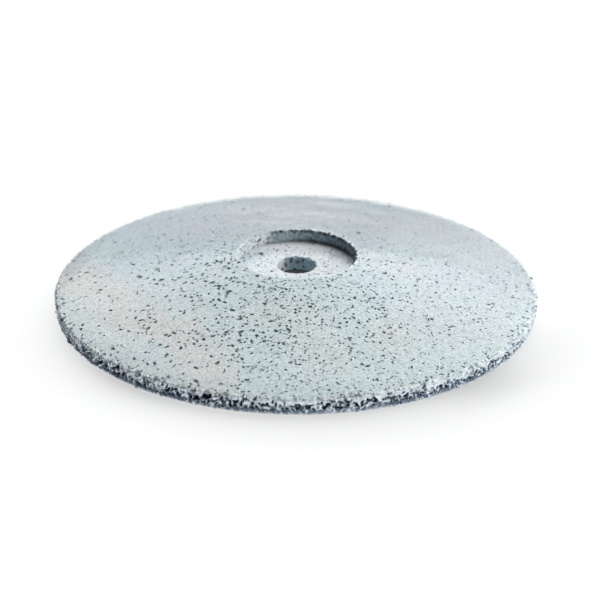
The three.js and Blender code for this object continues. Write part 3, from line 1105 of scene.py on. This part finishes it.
def table_material():
    """Plain and pale, glowing with painted light, with a painted shadow in front of the disc and at its two
    front corners, and clear from below.

    The camera sees the painted shadow as a dimmer glow. Other rays meet a dimmer table near the disc, most of
    all on the left, and for the camera it is near black under the disc: painted shade."""
    n = Surface("floor")
    cloud = n.noise(60, 2.0)
    seen = n.add("LightPath").outputs["Is Camera Ray"]
    away = n.vector("LENGTH", n.vector("ADD", n.place, (-3 * MM, 0, 0)))
    split = n.add("SeparateXYZ", None, Vector=n.place)
    across = split.outputs["X"]
    forward = n.maths("DIVIDE", split.outputs["Y"], away)
    beside = n.spread(forward, -0.66, 0.05)
    # Painted shadow round the disc, strongest in front, and a painted contact shadow at its two front
    # corners.
    around = n.spread(away, 30 * MM, 88 * MM, 0.55, 0.0)
    shade = n.times(around, n.maths("SUBTRACT", 1.0, beside))
    corner = n.times(n.spread(forward, -0.95, -0.75), n.spread(forward, -0.74, -0.48, 1.0, 0.0))
    contact = n.times(corner, n.spread(away, 63 * MM, 75 * MM, 1.0, 0.0))
    contact = n.times(contact, n.spread(across, -45 * MM, 45 * MM, 0.09, 0.17))
    shade = n.maths("ADD", shade, contact)
    clear = n.times(n.maths("SUBTRACT", 1.0, shade), n.spread(away, 20 * MM, 56 * MM, 0.03, 1.0))
    # For other rays the table is dimmer near the disc and on the left: painted shade.
    unseen_clear = n.maths("MAXIMUM", n.maths("SUBTRACT", 1.0, around), 0.28)
    unseen_clear = n.times(unseen_clear, n.spread(across, -150 * MM, 30 * MM, 0.60, 1.0))
    tone = n.mix(cloud, (0.56, 0.56, 0.56, 1), (0.54, 0.54, 0.55, 1))
    # Near black under the disc, seen through the bore: painted shade.
    under_disc = n.mix(n.spread(away, 12 * MM, 30 * MM), (0.02, 0.03, 0.04, 1), (0.25, 0.25, 0.25, 1))
    # The whole table glows: painted light.
    glow = n.add("Mix", None, Factor=seen, A=n.times(unseen_clear, TABLE_GLOW_UNSEEN),
                 B=n.times(clear, TABLE_GLOW_SEEN))
    from_below = n.add("MixShader", None, Fac=n.add("NewGeometry").outputs["Backfacing"])
    n.plug(from_below.inputs[1], n.shader.outputs[0])
    n.plug(from_below.inputs[2], n.add("BsdfTransparent").outputs[0])
    n.plug(n.output.inputs["Surface"], from_below.outputs[0])
    return n.finish(Base_Color=n.mix(seen, tone, under_disc), Roughness=0.9, Specular_IOR_Level=0.0,
                    Emission_Color=(1, 1, 1, 1), Emission_Strength=glow.outputs["Result"])


def table():
    """A wide flat table just under the disc."""
    mesh = bpy.data.meshes.new("floor")
    half = TABLE_HALF
    corners = [(-half, -half, 0), (half, -half, 0), (half, half, 0), (-half, half, 0)]
    mesh.from_pydata(corners, [], [(0, 1, 2, 3)])
    mesh.materials.append(table_material())
    plane = add_object("floor", mesh)
    plane.location.z = -TABLE_GAP


def surroundings():
    """A dim studio with bright panels: a wide high one behind, low ones at the right and in front, and two
    dim low ones behind."""
    world = bpy.data.worlds.new("studio")
    world.use_nodes = True
    n = Nodes(world.node_tree)
    way = n.add("TexCoord").outputs["Generated"]
    height = n.add("SeparateXYZ", None, Vector=way).outputs["Z"]
    level = n.vector("NORMALIZE", n.vector("MULTIPLY", way, (1, 1, 0)))
    total = 0.0
    for panel in PANELS:
        turn, half, foot, top, blur = (math.radians(a) for a in panel[:5])
        facing = n.vector("DOT_PRODUCT", level, (math.sin(turn), -math.cos(turn), 0))
        wide = n.spread(facing, math.cos(half + blur), math.cos(half - blur))
        above = n.spread(height, math.sin(foot - blur / 2), math.sin(foot + blur / 2))
        below = n.spread(height, math.sin(top - blur), math.sin(top + blur), 1.0, 0.0)
        lit = n.times(n.times(wide, n.times(above, below)), panel.glow)
        total = n.maths("ADD", lit, total)
    n.set(n.tree.nodes["Background"], Strength=n.maths("ADD", total, DIM_ROOM), Color=(0.975, 0.99, 1.0, 1.0))
    bpy.context.scene.world = world


def camera():
    data = bpy.data.cameras.new("camera")
    data.lens = LENS_MM
    data.clip_start, data.clip_end = 0.01, 20
    back = Vector((0, -math.cos(CAMERA_ELEVATION), math.sin(CAMERA_ELEVATION)))
    raised = Vector((0, math.sin(CAMERA_ELEVATION), math.cos(CAMERA_ELEVATION)))
    anchor = Vector((0, 0, RIM_TOP * MM))
    aim = anchor + Vector((AIM_RIGHT, 0, 0)) - raised * AIM_DOWN
    lens = add_object("camera", data)
    lens.location = aim + back * CAMERA_DISTANCE
    lens.rotation_mode = "QUATERNION"
    level = back.to_track_quat("Z", "Y")
    lens.rotation_quaternion = level @ Euler((0, 0, CAMERA_ROLL)).to_quaternion()
    sharp = add_object("sharp_point", None)
    sharp.location = SHARP_POINT
    data.dof.use_dof = True
    data.dof.focus_object = sharp
    data.dof.aperture_fstop = F_STOP
    bpy.context.scene.camera = lens


def main():
    pale = coat_material("pale_coat", warm=(213, 210, 206), green=(198, 215, 215), raw_and_shade=(148, 171, 186),
                         pit_dark=(108, 124, 132), pit_light=(162, 178, 183), speckle=0.22, raw_spots=0.75)
    lining = coat_material("floor_coat", warm=(224, 223, 220), green=(216, 224, 226), raw_and_shade=(160, 188, 205),
                           pit_dark=(50, 70, 84), pit_light=(120, 140, 148), speckle=0.15, raw_spots=0.55)
    face_coat(pale)
    floor_coat(lining)
    coarse_rim(rim_material())
    rim_chips(chip_material())
    steel_parts()
    core_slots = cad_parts["grit_core"].data.materials
    core_slots.clear()
    core_slots.append(core_material())
    table()
    surroundings()
    camera()
    bpy.context.scene.view_settings.view_transform = "Standard"


main()
